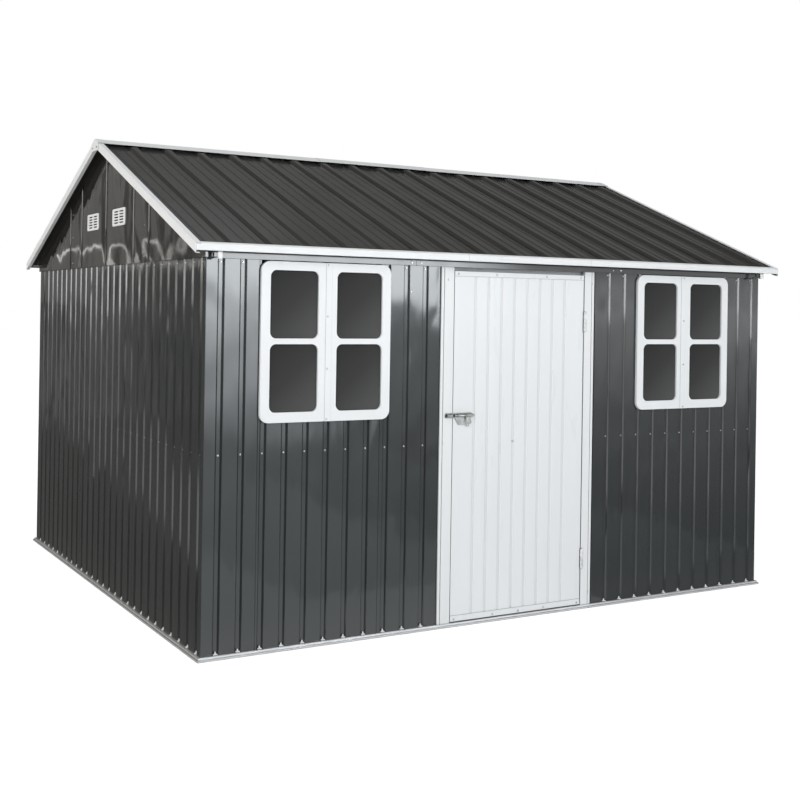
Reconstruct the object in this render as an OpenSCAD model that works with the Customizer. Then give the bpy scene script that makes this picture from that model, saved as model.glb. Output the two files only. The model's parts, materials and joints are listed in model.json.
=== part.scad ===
// Gable storage shed of ribbed steel sheet on a light frame of folded rails.
// It has a hinged front door with a barrel bolt, two fixed four-light windows
// and a pair of louvred vents in each gable.
// X runs along the front from left to right, Y from front to back, Z up.
// The origin is the centre of the base, on the ground.

/* [Walls] */
// Width of the walls over their outer faces
wall_w = 3208; // [3190:2:3260]
// Depth of the walls over their outer faces
wall_d = 2744; // [2600:2:2900]
// Height of the lower edge of the eave rail, where the front sheets disappear
wall_h = 1658; // [1640:1:1900]
// Thickness of all ribbed sheet
sheet_t = 0.8; // [0.6:0.1:1.2]
// Depth of the wall grooves
groove_depth = 9; // [6:0.5:12]
// Width of a groove at the face of the sheet
groove_mouth = 30; // [24:1:34]
// Width of a groove at its floor
groove_floor = 18; // [12:1:22]
// Distance from one groove to the next
groove_pitch = 100; // [90:1:110]
// First groove of the front wall, from the left corner
groove_first_left = 68; // [62:1:70]
// First groove of the front wall, from the right corner
groove_first_right = 59; // [59:1:62]
// First groove of the side walls, from the front corner
groove_first_side = 48; // [40:1:60]
// Width of the lap where one sheet covers the next
lap_w = 8; // [6:1:10]
// Width of the sheets of the side and back walls
sheet_w = 900; // [800:100:1000]

/* [Frame] */
// Thickness of the folded rails and posts
rail_t = 1.2; // [1:0.1:1.6]
// How far the base rail stands out from the walls
base_lip = 18; // [14:1:26]
// Height of the ledge of the base rail
base_ledge_h = 17.5; // [14:0.5:18]
// Height of the step at the outer edge of the base rail
base_step_h = 9; // [6:0.5:11]
// Width of the step at the outer edge of the base rail
base_step_w = 7; // [5:0.5:10]
// Height of the upright leg of the base rail, behind the sheets
base_leg_h = 45; // [35:1:60]
// Reach of the rails into the shed
rail_reach = 42; // [40:1:48]
// Width of each leg of the corner posts
post_leg = 36; // [30:1:40]
// Level of the middle of the wall girts, as a part of the wall height
girt_level = 0.508; // [0.45:0.001:0.55]
// Height of a wall girt
girt_h = 40; // [30:1:50]
// Depth of a wall girt
girt_depth = 21; // [16:1:26]
// How far the rails under the roof stand out from the walls
rail_out = 8; // [6:0.5:10]
// Height of the outer face of the eave rail
rail_face = 24; // [20:1:28]
// Distance of the ends of the eave rail from the corners
rail_end = 31; // [28:1:40]
// Length of each outer section of the eave rail, of three
eave_joint_x = 1012; // [980:1:1060]
// Radius of the anchor holes in the base rails
anchor_r = 5.5; // [4:0.5:7]
// Distance of the anchor holes from the side walls
anchor_x = 150; // [120:1:200]
// Distance of the anchor holes from the front and back walls
anchor_y = 28; // [24:1:32]

/* [Roof] */
// Pitch of the roof in degrees
roof_pitch = 22.3; // [20:0.1:25]
// Height of the underside of the roof sheets above the foot of the eave rail
roof_rise = 67; // [60:1:75]
// Overhang of the roof at the eaves
eave_over = 70; // [60:1:90]
// Overhang of the roof at the gables
rake_over = 72; // [66:1:76]
// Distance between the main ribs of the roof
rib_pitch = 182.5; // [180:0.5:184]
// Place of the first roof rib, from the left wall and hidden by the rake trim
rib_first = -70; // [-74:1:-66]
// Height of the main ribs
rib_h = 12; // [9:0.5:14]
// Width of a main rib at its foot
rib_foot = 56; // [50:1:60]
// Width of a main rib at its crest
rib_crest = 28; // [22:1:30]
// Height of the two fine ribs between main ribs
fine_h = 2; // [1.5:0.1:3]
// Width of a fine rib
fine_w = 10; // [8:0.5:12]
// Distance of the fine ribs from the middle of the pan
fine_spread = 28; // [24:1:32]
// Height of the eave fascia
fascia_h = 28; // [24:1:34]
// Height of the rake trim, square to the roof
rake_h = 38; // [32:1:42]
// Width of the top flange of the rake trim
rake_flange = 24; // [22:1:28]
// Width of the bottom lip of the rake trim
rake_lip = 18; // [14:1:20]
// Place of the first joint of the fascia, from the left corner
fascia_joint_1 = 1258; // [1200:1:1300]
// Place of the second joint of the fascia, from the left corner
fascia_joint_2 = 1978; // [1900:1:2050]
// Place of the first joint of the ridge cap, from the left corner
cap_joint_1 = 1208; // [1150:1:1250]
// Place of the second joint of the ridge cap, from the left corner
cap_joint_2 = 1904; // [1850:1:1950]
// Length over which the middle of the ridge cap laps over the outer lengths
cap_lap = 24; // [12:2:40]
// Reach of each side of the ridge cap down the roof
cap_reach = 72; // [64:1:90]
// Width of the ridge end plates
end_plate_w = 120; // [100:2:130]
// Height of the ridge end plates at the middle
end_plate_h = 62; // [54:1:70]
// Length of the saddle of each ridge end plate
saddle_len = 37; // [30:1:45]
// Depth of the ridge beam below the roof
ridge_beam_h = 50; // [40:1:60]
// Width of the ridge beam
ridge_beam_w = 40; // [30:1:50]
// Depth of the rafters behind the gable sheets
rafter_h = 30; // [24:1:32]
// Width of the rafters and purlins under the roof sheets
rafter_w = 30; // [24:1:36]
// Depth of the purlins below the roof
purlin_h = 36; // [30:1:44]
// Width of the eave brackets
bracket_w = 20; // [16:1:26]
// Distance of the eave brackets from the side walls
bracket_x = 27; // [24:1:30]
// Distance of the hanging leg of an eave bracket from the wall
bracket_out = 60; // [54:1:64]
// Height of the foot of the eave brackets, below the foot of the eave rail
bracket_drop = 3; // [1:1:5]

/* [Gables] */
// Gap between the foot of the eave rail and the lower edge of the gable sheets, in height
gable_gap = 2; // [0:1:6]
// Length of the return of the gable sheets round the corners
gable_return = 22; // [18:1:24]
// Reach of the angle that closes the gable under the roof
gable_angle = 18; // [14:1:22]
// Distance between the standing ribs of the gable sheets
gable_rib_pitch = 445; // [420:1:460]
// Distance of the outer lap of the gable sheets from the middle
gable_lap = 670; // [640:1:700]
// How far the ribs of the gable sheets stand out
gable_rib_h = 4; // [3:0.5:6]
// Width of a rib of the gable sheets at its foot
gable_rib_w = 16; // [12:1:22]
// Width of a vent
vent_w = 204; // [190:2:226]
// Height of a vent
vent_h = 86; // [80:1:94]
// Thickness of a vent
vent_t = 4; // [3:0.5:6]
// Height of the middle of the vents above the foot of the eave rail
vent_rise = 239; // [225:1:250]
// Number of slots in each column of a vent
vent_rows = 5; // [3:1:5]
// Height of a vent slot
slot_h = 7; // [5:0.5:8]
// Width of a vent slot
slot_w = 66; // [56:1:72]
// Distance from one slot to the next
slot_pitch = 14; // [12:0.5:14.5]

/* [Windows] */
// Distance of a window from the corner of the front wall
window_x = 244; // [242:1:245]
// Width of a window
window_w = 632; // [626:1:636]
// Height of a window
window_h = 684; // [660:1:700]
// How far the window frame stands out from the wall
window_depth = 14; // [12:0.5:18]
// Thickness of the window frame
window_t = 1.2; // [1:0.1:1.6]
// Gap between the top of a window and the eave rail
window_top_gap = 4; // [2:0.5:6]
// Width of a light
light_w = 228; // [214:1:230]
// Height of a light
light_h = 290; // [270:1:291]
// Width of the frame beside the outer lights
window_stile = 43; // [41:1:46]
// Height of the frame below the lower lights
window_sill = 43; // [42:1:52]
// Height of the bar between lights
window_bar = 24; // [22:1:30]
// Corner radius of a window
window_r = 40; // [30:1:44]
// Corner radius of a light
light_r = 28; // [20:1:36]
// Thickness of the panes
pane_t = 3; // [2:0.5:3]
// Width of the strip that covers the joint of the two halves
mullion_w = 28; // [22:1:34]

/* [Door] */
// Width of the door leaf
door_w = 762; // [720:1:770]
// Gap between the top of the door leaf and the foot of the eave rail
door_top_gap = 18; // [14:1:24]
// Height of the bottom of the door leaf
door_bottom = 24; // [23:0.5:28]
// Gap around the leaf at its jambs
door_gap = 5; // [5:0.5:7]
// How far the jambs stand out from the wall
jamb_out = 8; // [8:0.5:12]
// Width of the jamb on the bolt side
jamb_w = 68; // [60:1:74]
// Width of the jamb on the hinge side
hinge_jamb_w = 60; // [56:1:66]
// Depth of the reveal behind a jamb
jamb_reveal = 30; // [26:1:36]
// Distance of the line pressed in a jamb from its outer edge
jamb_line = 15; // [12:1:20]
// How far the door sheet stands out from the wall
door_out = 6; // [5:0.5:7]
// Thickness of the door leaf behind its sheet
door_depth = 16; // [14:0.5:17]
// Height of the channel on the top edge of the door
door_top_h = 22; // [18:1:28]
// Height of the channel on the bottom edge of the door
door_foot_h = 26; // [20:1:32]
// Width of the stiles behind the door sheet
door_stile_w = 24; // [18:1:30]
// Number of grooves pressed in the door sheet
door_grooves = 8; // [6:1:9]
// Distance of the outer grooves from the edges of the leaf
door_groove_first = 118; // [106:1:124]
// Width of a door groove at the face of the sheet
door_groove_mouth = 16; // [12:1:20]
// Width of a door groove at its floor
door_groove_floor = 9; // [6:1:12]
// Depth of a door groove
door_groove_depth = 4; // [2:0.5:5]
// Height of the visible face of the door head
head_drop = 36; // [24:1:44]

/* [Hinges] */
// Radius of the hinge knuckles
knuckle_r = 4.5; // [4:0.1:4.6]
// Radius of the hinge pins
pin_r = 2.5; // [2:0.1:2.8]
// Running clearance of the pins
pin_clear = 0.05; // [0.03:0.01:0.1]
// Length of a hinge
hinge_h = 96; // [80:1:110]
// Height of the middle of the lower hinge above the foot of the leaf
hinge_low = 224; // [180:1:280]
// Distance of the middle of the upper hinge below the top of the leaf
hinge_high = 226; // [190:1:280]
// Thickness of the hinge plates
hinge_t = 1.5; // [1.2:0.1:2]
// Width of the hinge plate on the jamb
hinge_plate_w = 16; // [12:1:24]

/* [Bolt] */
// Level of the bolt, as a part of the wall height
bolt_level = 0.5875; // [0.55:0.0005:0.62]
// Radius of the bolt
bolt_r = 5; // [4:0.1:5.2]
// Length of the bolt
bolt_len = 110; // [104:1:120]
// Travel of the bolt from drawn to shot
bolt_travel = 50; // [45:1:50]
// Running clearance round the bolt
bolt_clear = 0.4; // [0.3:0.1:0.6]
// Outer radius of the barrel and the keeper
barrel_r = 7.5; // [7:0.1:8]
// Length of the barrel
barrel_len = 84; // [82:1:88]
// Length of the keeper
keeper_len = 32; // [24:1:34]
// Height of the plate of the keeper
keeper_plate_h = 20; // [18:1:30]
// Length of the handle below the axis of the bolt
handle_len = 52; // [44:1:56]
// Width of the handle
handle_w = 16; // [12:1:18]
// Thickness of the handle
handle_t = 3; // [2.5:0.5:3.5]

/* [Hidden] */
$fn = 40;
// Gap at which pieces that don't move sit on each other
fit = 0.3;
// Room behind a groove for the frame
leg_y = groove_depth + sheet_t + 0.6;
slope = tan(roof_pitch);
cosine = cos(roof_pitch);
// Step of a sheet that is covered by its neighbour
wall_lap = sheet_t + fit;
roof_lap = sheet_t + 0.5;
// Height of the trim above the underside of the roof sheets
trim_z = rib_h + roof_lap + sheet_t + fit;
ridge_y = wall_d / 2;
roof_wall_z = wall_h + roof_rise;
// Height of the underside of the roof sheets at a distance behind the front wall
function roof_z(y) = roof_wall_z + y * slope;
eave_rail_top = roof_z(leg_y) - fit;
eave_ledge = wall_h + rail_face;
side_rail_top = wall_h + 42;
sheet_bottom = base_ledge_h + fit;
eave_sheet_top = eave_ledge - rail_t - 1;
side_sheet_top = side_rail_top - rail_t - 1;
post_top = side_rail_top - rail_t - fit;
girt_z = wall_h * girt_level;
gable_z = wall_h + gable_gap;
// Outer face of the rail behind the gable sheets
side_out = rail_out - sheet_t - fit;
vent_z = wall_h + vent_rise;
window_top = wall_h - window_top_gap;
window_bottom = window_top - window_h;
under_window = window_bottom + 32;
seam_inner = window_x + window_w - window_stile + 3;
leaf_x = (wall_w - door_w) / 2;
// Distance of the outer edge of a jamb from its corner of the front wall
function jamb_x(width) = leaf_x - door_gap - width;
door_top = wall_h - door_top_gap;
door_groove_pitch = (door_w - 2 * door_groove_first) / (door_grooves - 1);
hinge_x = leaf_x + door_w + door_gap / 2;
hinge_y = -jamb_out - knuckle_r - 0.1;
hinge_levels = [door_bottom + hinge_low, door_top - hinge_high];
bolt_y = -door_out - hinge_t - barrel_r - 0.5;
bolt_z = wall_h * bolt_level;
bolt_tip = leaf_x + 1;
barrel_x = bolt_tip + 18;
handle_x = bolt_tip + bolt_travel + 24;
keeper_x = bolt_tip - bolt_travel + 8;
roof_ribs = floor((wall_w + rake_over - rib_first - rib_foot / 2) / rib_pitch);
// Room for cuts that pass right through the shed
beyond = wall_w + wall_d;

dark = "#3f4345";
roof_dark = "#36383a";
white = "#eceff0";
zinc = "#b4b9bc";
steel = "#8e9296";
pane = "#5c5f61";

// Outline of a strip of sheet folded along a path, with its thickness to the left of the path
function along(p, i) = (p[i + 1] - p[i]) / norm(p[i + 1] - p[i]);
function left_of(d) = [-d[1], d[0]];
function fold_side(p, i) = left_of(along(p, max(i - 1, 0))) + left_of(along(p, min(i, len(p) - 2)));
function fold_point(p, i, t) = let (m = fold_side(p, i)) p[i] + m * (2 * t / (m * m));
function folded(p, t) = concat(p, [for (i = [len(p) - 1 : -1 : 0]) fold_point(p, i, t)]);

// Pressed trough or rib centred on c, from level a to level b, ending at level e
function pressed(c, mouth, floor_w, a, b, e) =
    [[c - mouth / 2, a], [c - floor_w / 2, b], [c + floor_w / 2, b], [c + mouth / 2, e]];

// A section in the X-Z plane of its wall, run along Y from y0 to y1
module run_y(y0, y1) translate([0, y1, 0]) rotate([90, 0, 0]) linear_extrude(y1 - y0) children();

// A section given as inward distance and height, run along the wall from x0 to x1
module run_x(x0, x1) translate([x0, 0, 0]) rotate([90, 0, 90]) linear_extrude(x1 - x0) children();

// Each wall has its own frame: along it from a front corner, inwards, and up
module at_front() translate([-wall_w / 2, -wall_d / 2, 0]) children();
module at_front_right() mirror([1, 0, 0]) at_front() children();
module at_back() mirror([0, 1, 0]) at_front() children();
module at_right() translate([wall_w / 2, -wall_d / 2, 0]) rotate([0, 0, 90]) children();
module at_left() mirror([1, 0, 0]) at_right() children();

// The front slope has a frame of its own: along the eave, up the slope, and out of the roof
module on_slope() at_front() translate([0, 0, roof_wall_z]) rotate([roof_pitch, 0, 0]) children();
module on_back_slope() mirror([0, 1, 0]) on_slope() children();

module round_rect(w, h, r) {
    translate([r, 0]) square([w - 2 * r, h]);
    translate([0, r]) square([w, h - 2 * r]);
    for (x = [r, w - r], y = [r, h - r]) translate([x, y]) circle(r);
}

// Grooves that lie wholly between two places on a wall
function grooves_in(first, x0, x1) =
    [for (c = [first : groove_pitch : x1]) if (c - groove_mouth / 2 >= x0 && c + groove_mouth / 2 <= x1) c];

// Path of a wall sheet from x0 to x1, stepped in at x1 if the next sheet covers it there
function wall_path(x0, x1, first, covered) = concat(
    [[x0, 0]],
    [for (c = grooves_in(first, x0, covered ? x1 - lap_w - 1.5 : x1))
        each pressed(c, groove_mouth, groove_floor, 0, groove_depth, 0)],
    covered ? [[x1 - lap_w - 1.5, 0], [x1 - lap_w, wall_lap], [x1, wall_lap]] : [[x1, 0]]);

module wall_sheet(x0, x1, first, covered, top)
    translate([0, 0, sheet_bottom])
        linear_extrude(top - sheet_bottom) polygon(folded(wall_path(x0, x1, first, covered), sheet_t));

// A whole wall of sheets of one width, each lapped over the one before it
module wall_of_sheets(x0, x1, first, top) {
    seams = [for (x = [first + sheet_w - groove_pitch / 2 : sheet_w : x1 - sheet_w / 3]) x];
    starts = concat([x0], seams);
    for (i = [0 : len(seams)])
        wall_sheet(starts[i], i < len(seams) ? seams[i] + lap_w - 1 : x1, first, i < len(seams), top);
}

// Front wall on one side of the door: beside, under and again beside the window
module front_half(first, seam, jamb) {
    wall_sheet(wall_lap, seam + lap_w - 1, first, true, eave_sheet_top);
    wall_sheet(seam, seam_inner + lap_w - 1, first, true, under_window);
    wall_sheet(seam_inner, jamb_x(jamb / 2), first, false, eave_sheet_top);
}

// The seam beside the window is on a flat of the sheet, behind the window frame
seam_left = window_x;
seam_right = window_x + 40;

module front_wall_left() color(dark) at_front() front_half(groove_first_left, seam_left, jamb_w);
module front_wall_right() color(dark) at_front_right()
    front_half(groove_first_right, seam_right, hinge_jamb_w);
module back_wall() color(dark) at_back()
    wall_of_sheets(wall_lap, wall_w - wall_lap, groove_first_left, eave_sheet_top);
module side_wall() wall_of_sheets(0, wall_d, groove_first_side, side_sheet_top);
module left_wall() color(dark) at_left() side_wall();
module right_wall() color(dark) at_right() side_wall();

// A base rail is one strip: foot, outer lip, step, ledge under the sheets and leg behind them
base_path = [[leg_y, base_leg_h], [leg_y, base_ledge_h], [base_step_w - base_lip, base_ledge_h],
             [base_step_w - base_lip, base_step_h], [-base_lip, base_step_h], [-base_lip, 0], [rail_reach, 0]];

// A base rail of a wall, mitred at both corners
module base_rail(length) intersection() {
    run_x(-base_lip, length + base_lip) polygon(folded(base_path, rail_t));
    translate([0, 0, -1]) linear_extrude(base_leg_h + 2)
        polygon([[fit / 2 - base_lip, -base_lip], [length + base_lip - fit / 2, -base_lip],
                 [length - rail_reach - fit / 2, rail_reach], [rail_reach + fit / 2, rail_reach]]);
}

module anchor_holes() for (x = [anchor_x, wall_w - anchor_x])
    translate([x, anchor_y, -1]) cylinder(r = anchor_r, h = rail_t + 2);

module base_rail_front() color(zinc) at_front() difference() {
    base_rail(wall_w);
    anchor_holes();
    translate([jamb_x(jamb_w), -1, base_ledge_h])
        cube([wall_w - jamb_x(jamb_w) - jamb_x(hinge_jamb_w), rail_reach, base_leg_h]);
}
module base_rail_back() color(zinc) at_back() difference() {
    base_rail(wall_w);
    anchor_holes();
}
module base_rail_left() color(zinc) at_left() base_rail(wall_d);
module base_rail_right() color(zinc) at_right() base_rail(wall_d);

// Corner posts are plain angles inside the sheets
module corner_post() translate([leg_y + rail_t + fit, leg_y + rail_t + fit, sheet_bottom])
    linear_extrude(post_top - sheet_bottom)
        polygon(folded([[post_leg, 0], [0, 0], [0, post_leg]], -rail_t));
module corner_posts() color(zinc) {
    at_front() corner_post();
    at_front_right() corner_post();
    at_back() corner_post();
    at_back() translate([wall_w, 0, 0]) mirror([1, 0, 0]) corner_post();
}

// The eave rail is one strip: flange under the roof, recessed face, ledge over the sheets and outer face.
// It comes in three lengths that meet with a hairline joint.
eave_path = [[rail_reach - 2, eave_rail_top], [leg_y, eave_rail_top], [leg_y, eave_ledge],
             [-rail_out, eave_ledge], [-rail_out, wall_h]];
module eave_rail() for (span = [[rail_end, eave_joint_x - 0.5], [eave_joint_x + 0.5, wall_w - eave_joint_x - 0.5],
                                [wall_w - eave_joint_x + 0.5, wall_w - rail_end]])
    run_x(span[0], span[1]) polygon(folded(eave_path, rail_t));
module eave_rail_front() color(dark) at_front() eave_rail();
module eave_rail_back() color(dark) at_back() eave_rail();

// The side rail caps the tops of the side sheets, behind the foot of the gable
side_path = [[rail_reach - 2, side_rail_top], [-side_out, side_rail_top], [-side_out, gable_z + 1]];
module side_rail() run_x(leg_y + rail_t + fit, wall_d - leg_y - rail_t - fit) polygon(folded(side_path, rail_t));
module side_rail_left() color(dark) at_left() side_rail();
module side_rail_right() color(dark) at_right() side_rail();

// Girts run behind the grooves between the corner posts and the door jambs
module girt(x0, x1) run_x(x0, x1)
    polygon(folded([[leg_y + girt_depth, girt_z - girt_h / 2], [leg_y, girt_z - girt_h / 2],
                    [leg_y, girt_z + girt_h / 2], [leg_y + girt_depth, girt_z + girt_h / 2]], -rail_t));
girt_x = leg_y + rail_t + post_leg + 2 * fit;
module wall_girts() color(zinc) {
    at_front() girt(girt_x, jamb_x(jamb_w / 2));
    at_front_right() girt(girt_x, jamb_x(hinge_jamb_w / 2));
    at_back() girt(girt_x, wall_w - girt_x);
    at_left() girt(girt_x, wall_d - girt_x);
    at_right() girt(girt_x, wall_d - girt_x);
}

// A jamb is folded from one strip: outer return, pressed line, face, reveal and stop
function jamb_path(width) = [[0, -fit], [0, -jamb_out], [jamb_line - 2, -jamb_out], [jamb_line, 3 - jamb_out],
                             [jamb_line + 2, -jamb_out], [width, -jamb_out], [width, jamb_reveal],
                             [width - 26, jamb_reveal]];
jamb_low = base_ledge_h + fit;
module door_jamb(width) translate([jamb_x(width), 0, jamb_low])
    linear_extrude(wall_h - fit - jamb_low) polygon(folded(jamb_path(width), rail_t));
module door_jamb_left() color(white) at_front() door_jamb(jamb_w);
module door_jamb_right() color(white) at_front_right() door_jamb(hinge_jamb_w);

// The head closes the doorway behind the top of the leaf and hangs from the eave rail
head_y = door_depth - door_out + 5.5;
module door_head() color(dark) at_front()
    run_x(leaf_x - door_gap + fit, wall_w - leaf_x + door_gap - fit)
        polygon(folded([[head_y + 18, wall_h - head_drop], [head_y, wall_h - head_drop],
                        [head_y, eave_rail_top - rail_t - fit]], -rail_t));

// Lights of one half of a window, from the outer edge of the frame
light_low = window_sill;
light_high = window_sill + light_h + window_bar;
module lights(grow) for (z = [light_low, light_high])
    translate([window_stile - grow, z - grow]) round_rect(light_w + 2 * grow, light_h + 2 * grow, light_r + grow);

// Outline of one half, rounded at its outer corners and square at the joint
module half_outline(grow) {
    half = window_w / 2 - fit / 2;
    translate([window_r, -grow]) square([half - window_r + grow, window_h + 2 * grow]);
    translate([-grow, window_r]) square([window_r + 1, window_h - 2 * window_r]);
    for (z = [window_r, window_h - window_r]) translate([window_r, z]) circle(window_r + grow);
}

// A half frame is a pressed tray, open at the back, with a lip round each light
module window_half() translate([window_x, 0, window_bottom]) difference() {
    run_y(-window_depth, -fit) half_outline(0);
    run_y(window_t - window_depth, 1) difference() {
        half_outline(-window_t);
        lights(window_t);
    }
    run_y(-window_depth - 1, 1) lights(0);
    run_y(-pane_t - 2 * fit, 1) half_outline(-window_t);
}

// The strip over the joint belongs to the inner half
module window_cover() translate([window_x + window_w / 2, 0, window_bottom]) {
    run_y(-window_depth - window_t - fit, -window_depth - fit)
        translate([-mullion_w / 3, 0]) square([mullion_w, window_h]);
    run_y(-window_depth - window_t, 0.5 - window_depth)
        translate([fit / 2, 0]) square([mullion_w * 2 / 3 - fit / 2, window_h]);
}

// One pane stands behind both lights of a half, inside the tray
module window_pane() translate([window_x + window_stile - 9, 0, window_bottom + window_sill - 9])
    run_y(-pane_t - fit, -fit) square([light_w + 18, 2 * light_h + window_bar + 18]);

// The inner half is the outer half turned about the middle of the window
module at_inner_half() translate([2 * window_x + window_w, 0, 0]) mirror([1, 0, 0]) children();

module window_left_frame_outer() color(white) at_front() window_half();
module window_left_frame_inner() color(white) at_front() {
    at_inner_half() window_half();
    window_cover();
}
module window_left_panes() color(pane) at_front() {
    window_pane();
    at_inner_half() window_pane();
}
module window_right_frame_outer() color(white) at_front_right() window_half();
module window_right_frame_inner() color(white) at_front_right() {
    at_inner_half() window_half();
    window_cover();
}
module window_right_panes() color(pane) at_front_right() {
    window_pane();
    at_inner_half() window_pane();
}

// Gable sheets, in a front and a back half that meet in the middle.
// Each goes round its corner with a short return, flush with the eave rail.
function gable_top(y) = roof_z(y) - (rail_t + 2 * fit) / cosine;
function gable_rib(c, out) = pressed(c, gable_rib_w, gable_rib_w / 2, -out, -out - gable_rib_h, -out);
module gable_profile(path) translate([0, 0, gable_z])
    linear_extrude(roof_z(ridge_y) - gable_z) polygon(folded(path, sheet_t));
module gable_half() intersection() {
    gable_profile(concat([[-rail_out, gable_return], [-rail_out, -rail_out]], gable_rib(ridge_y - gable_lap, rail_out),
                         gable_rib(ridge_y - gable_rib_pitch, rail_out), [[ridge_y - fit / 2, -rail_out]]));
    run_y(-rail_out - gable_rib_h - 1, gable_return + 1)
        difference() {
            polygon([[-rail_out, gable_z], [ridge_y, gable_z], [ridge_y, gable_top(ridge_y)],
                     [-rail_out, gable_top(-rail_out)]]);
            translate([ridge_y - gable_rib_pitch / 2 - vent_w / 2 + 14, vent_z - vent_h / 2 + 10])
                square([vent_w - 28, vent_h - 20]);
        }
}

// A narrow standing rib covers the joint of the two halves
joint_out = rail_out + sheet_t + fit;
module gable_joint() intersection() {
    gable_profile(concat([[ridge_y - gable_rib_w, -joint_out]], gable_rib(ridge_y, joint_out),
                         [[ridge_y + gable_rib_w, -joint_out]]));
    run_y(-joint_out - gable_rib_h - 1, 1)
        polygon([[0, gable_z], [wall_d, gable_z], [wall_d, gable_top(0)], [ridge_y, gable_top(ridge_y)],
                 [0, gable_top(0)]]);
}

// Angles lie over the tops of the gable sheets and close the gable under both slopes
module gable_angle() translate([0, 0, roof_wall_z]) rotate([0, -roof_pitch, 0])
    translate([-eave_over / 2, 0, 0]) rotate([90, 0, 90])
        linear_extrude((ridge_y - 10 + eave_over / 2) / cosine)
            polygon(folded([[sheet_t - rail_out, -fit], [-rail_out - gable_angle, -fit],
                            [-rail_out - gable_angle, -14]], rail_t));

module gable() {
    for (side = [0, 1]) translate([side * wall_d, 0, 0]) mirror([side, 0, 0]) {
        gable_half();
        gable_angle();
    }
    gable_joint();
}
module gable_left() color(dark) at_left() gable();
module gable_right() color(dark) at_right() gable();

// A vent is a rounded plate with two columns of slots
module vent() run_y(-rail_out - fit - vent_t, -rail_out - fit)
    translate([-vent_w / 2, vent_z - vent_h / 2]) difference() {
        round_rect(vent_w, vent_h, 12);
        for (side = [-1, 1], row = [0 : vent_rows - 1])
            translate([vent_w / 2 + side * (slot_w / 2 + 9) - slot_w / 2,
                       vent_h / 2 + (row - (vent_rows - 1) / 2) * slot_pitch - slot_h / 2])
                round_rect(slot_w, slot_h, slot_h / 2 - 0.1);
    }
module vents() for (side = [-1, 1]) translate([ridge_y + side * gable_rib_pitch / 2, 0, 0]) vent();
module gable_vents_left() color(white) at_left() vents();
module gable_vents_right() color(white) at_right() vents();

// Rafters are angles under the ends of the roof sheets, inside the gables
rafter_start = (rail_reach + 1) / cosine;
rafter_end = (ridge_y - ridge_beam_w / 2 - fit - rafter_h * sin(roof_pitch)) / cosine;
module rafter() on_slope() run_y(rafter_start, rafter_end)
    polygon(folded([[rafter_w, -fit], [-side_out, -fit], [-side_out, -rafter_h]], rail_t));
module rafters() color(zinc) {
    rafter();
    mirror([1, 0, 0]) rafter();
    mirror([0, 1, 0]) {
        rafter();
        mirror([1, 0, 0]) rafter();
    }
}

// The ridge beam is folded to both slopes, and the purlins stand square to the roof
module ridge_beam() at_front() run_x(-side_out, wall_w + side_out)
    polygon(folded([[ridge_y - ridge_beam_w / 2, roof_z(ridge_y) - ridge_beam_h],
                    [ridge_y - ridge_beam_w / 2, roof_z(ridge_y - ridge_beam_w / 2) - fit / cosine],
                    [ridge_y, roof_z(ridge_y) - fit / cosine],
                    [ridge_y + ridge_beam_w / 2, roof_z(ridge_y - ridge_beam_w / 2) - fit / cosine],
                    [ridge_y + ridge_beam_w / 2, roof_z(ridge_y) - ridge_beam_h]], -rail_t));
module purlin() on_slope() translate([0, ridge_y / 2 / cosine, 0]) run_x(rafter_w + fit, wall_w - rafter_w - fit)
    polygon(folded([[rafter_w, -purlin_h], [0, -purlin_h], [0, -fit], [rafter_w, -fit]], -rail_t));
module roof_beams() color(zinc) {
    ridge_beam();
    purlin();
    mirror([0, 1, 0]) purlin();
}

// Profile of one roof sheet between two lapped ribs, with a full rib midway
function main_rib(c, lift) = [[c - rib_foot / 2, lift], [c - rib_crest / 2, rib_h + lift],
                              [c + rib_crest / 2, rib_h + lift], [c + rib_foot / 2, 0]];
function fine_ribs(c) = [for (side = [-1, 1])
    each pressed(c + rib_pitch / 2 + side * fine_spread, fine_w, fine_w / 2, 0, fine_h, 0)];
function sheet_start(n) = n == 0
    ? [[fit - rake_over + rail_t, rib_h], [rib_first + rib_crest / 2, rib_h], [rib_first + rib_foot / 2, 0]]
    : main_rib(rib_first + n * rib_pitch, roof_lap);
function sheet_end(n) = let (c = rib_first + n * rib_pitch, edge = wall_w + rake_over - rail_t - fit)
    n < roof_ribs - 1
    ? [[c - rib_foot / 2, 0], [c - rib_crest / 2, rib_h], [c + rib_crest / 2 - 2, rib_h]]
    : concat(main_rib(c, 0), [[edge, 0]]);
function roof_path(n) = concat(sheet_start(n), fine_ribs(rib_first + n * rib_pitch),
                               main_rib(rib_first + (n + 1) * rib_pitch, 0),
                               fine_ribs(rib_first + (n + 1) * rib_pitch), sheet_end(n + 2));

module roof_slope() for (n = [0 : 2 : roof_ribs - 2])
    run_y(-(eave_over - 8) / cosine, (ridge_y - 6) / cosine) polygon(folded(roof_path(n), sheet_t));
module roof_front() color(roof_dark) on_slope() roof_slope();
module roof_back() color(roof_dark) on_back_slope() roof_slope();

// The ridge cap rests on the rake trims, and its middle length laps over the outer two
function cap_z(y) = roof_z(y) + trim_z / cosine;
cap_joints = [-rake_over, cap_joint_1, cap_joint_2, wall_w + rake_over];
function cap_line(reach, lift) = [for (s = [-1, 0, 1])
    [ridge_y + s * reach * cosine, cap_z(ridge_y - abs(s) * reach * cosine) + lift]];
module ridge_cap() color(white) at_front() for (i = [0 : 2])
    run_x(cap_joints[i] - (i > 0 ? cap_lap / 2 : 0), cap_joints[i + 1] + (i < 2 ? cap_lap / 2 : 0))
        polygon(folded(cap_line(cap_reach, 2 * rail_t + (i == 1 ? rail_t + fit : 0)), rail_t));

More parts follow.
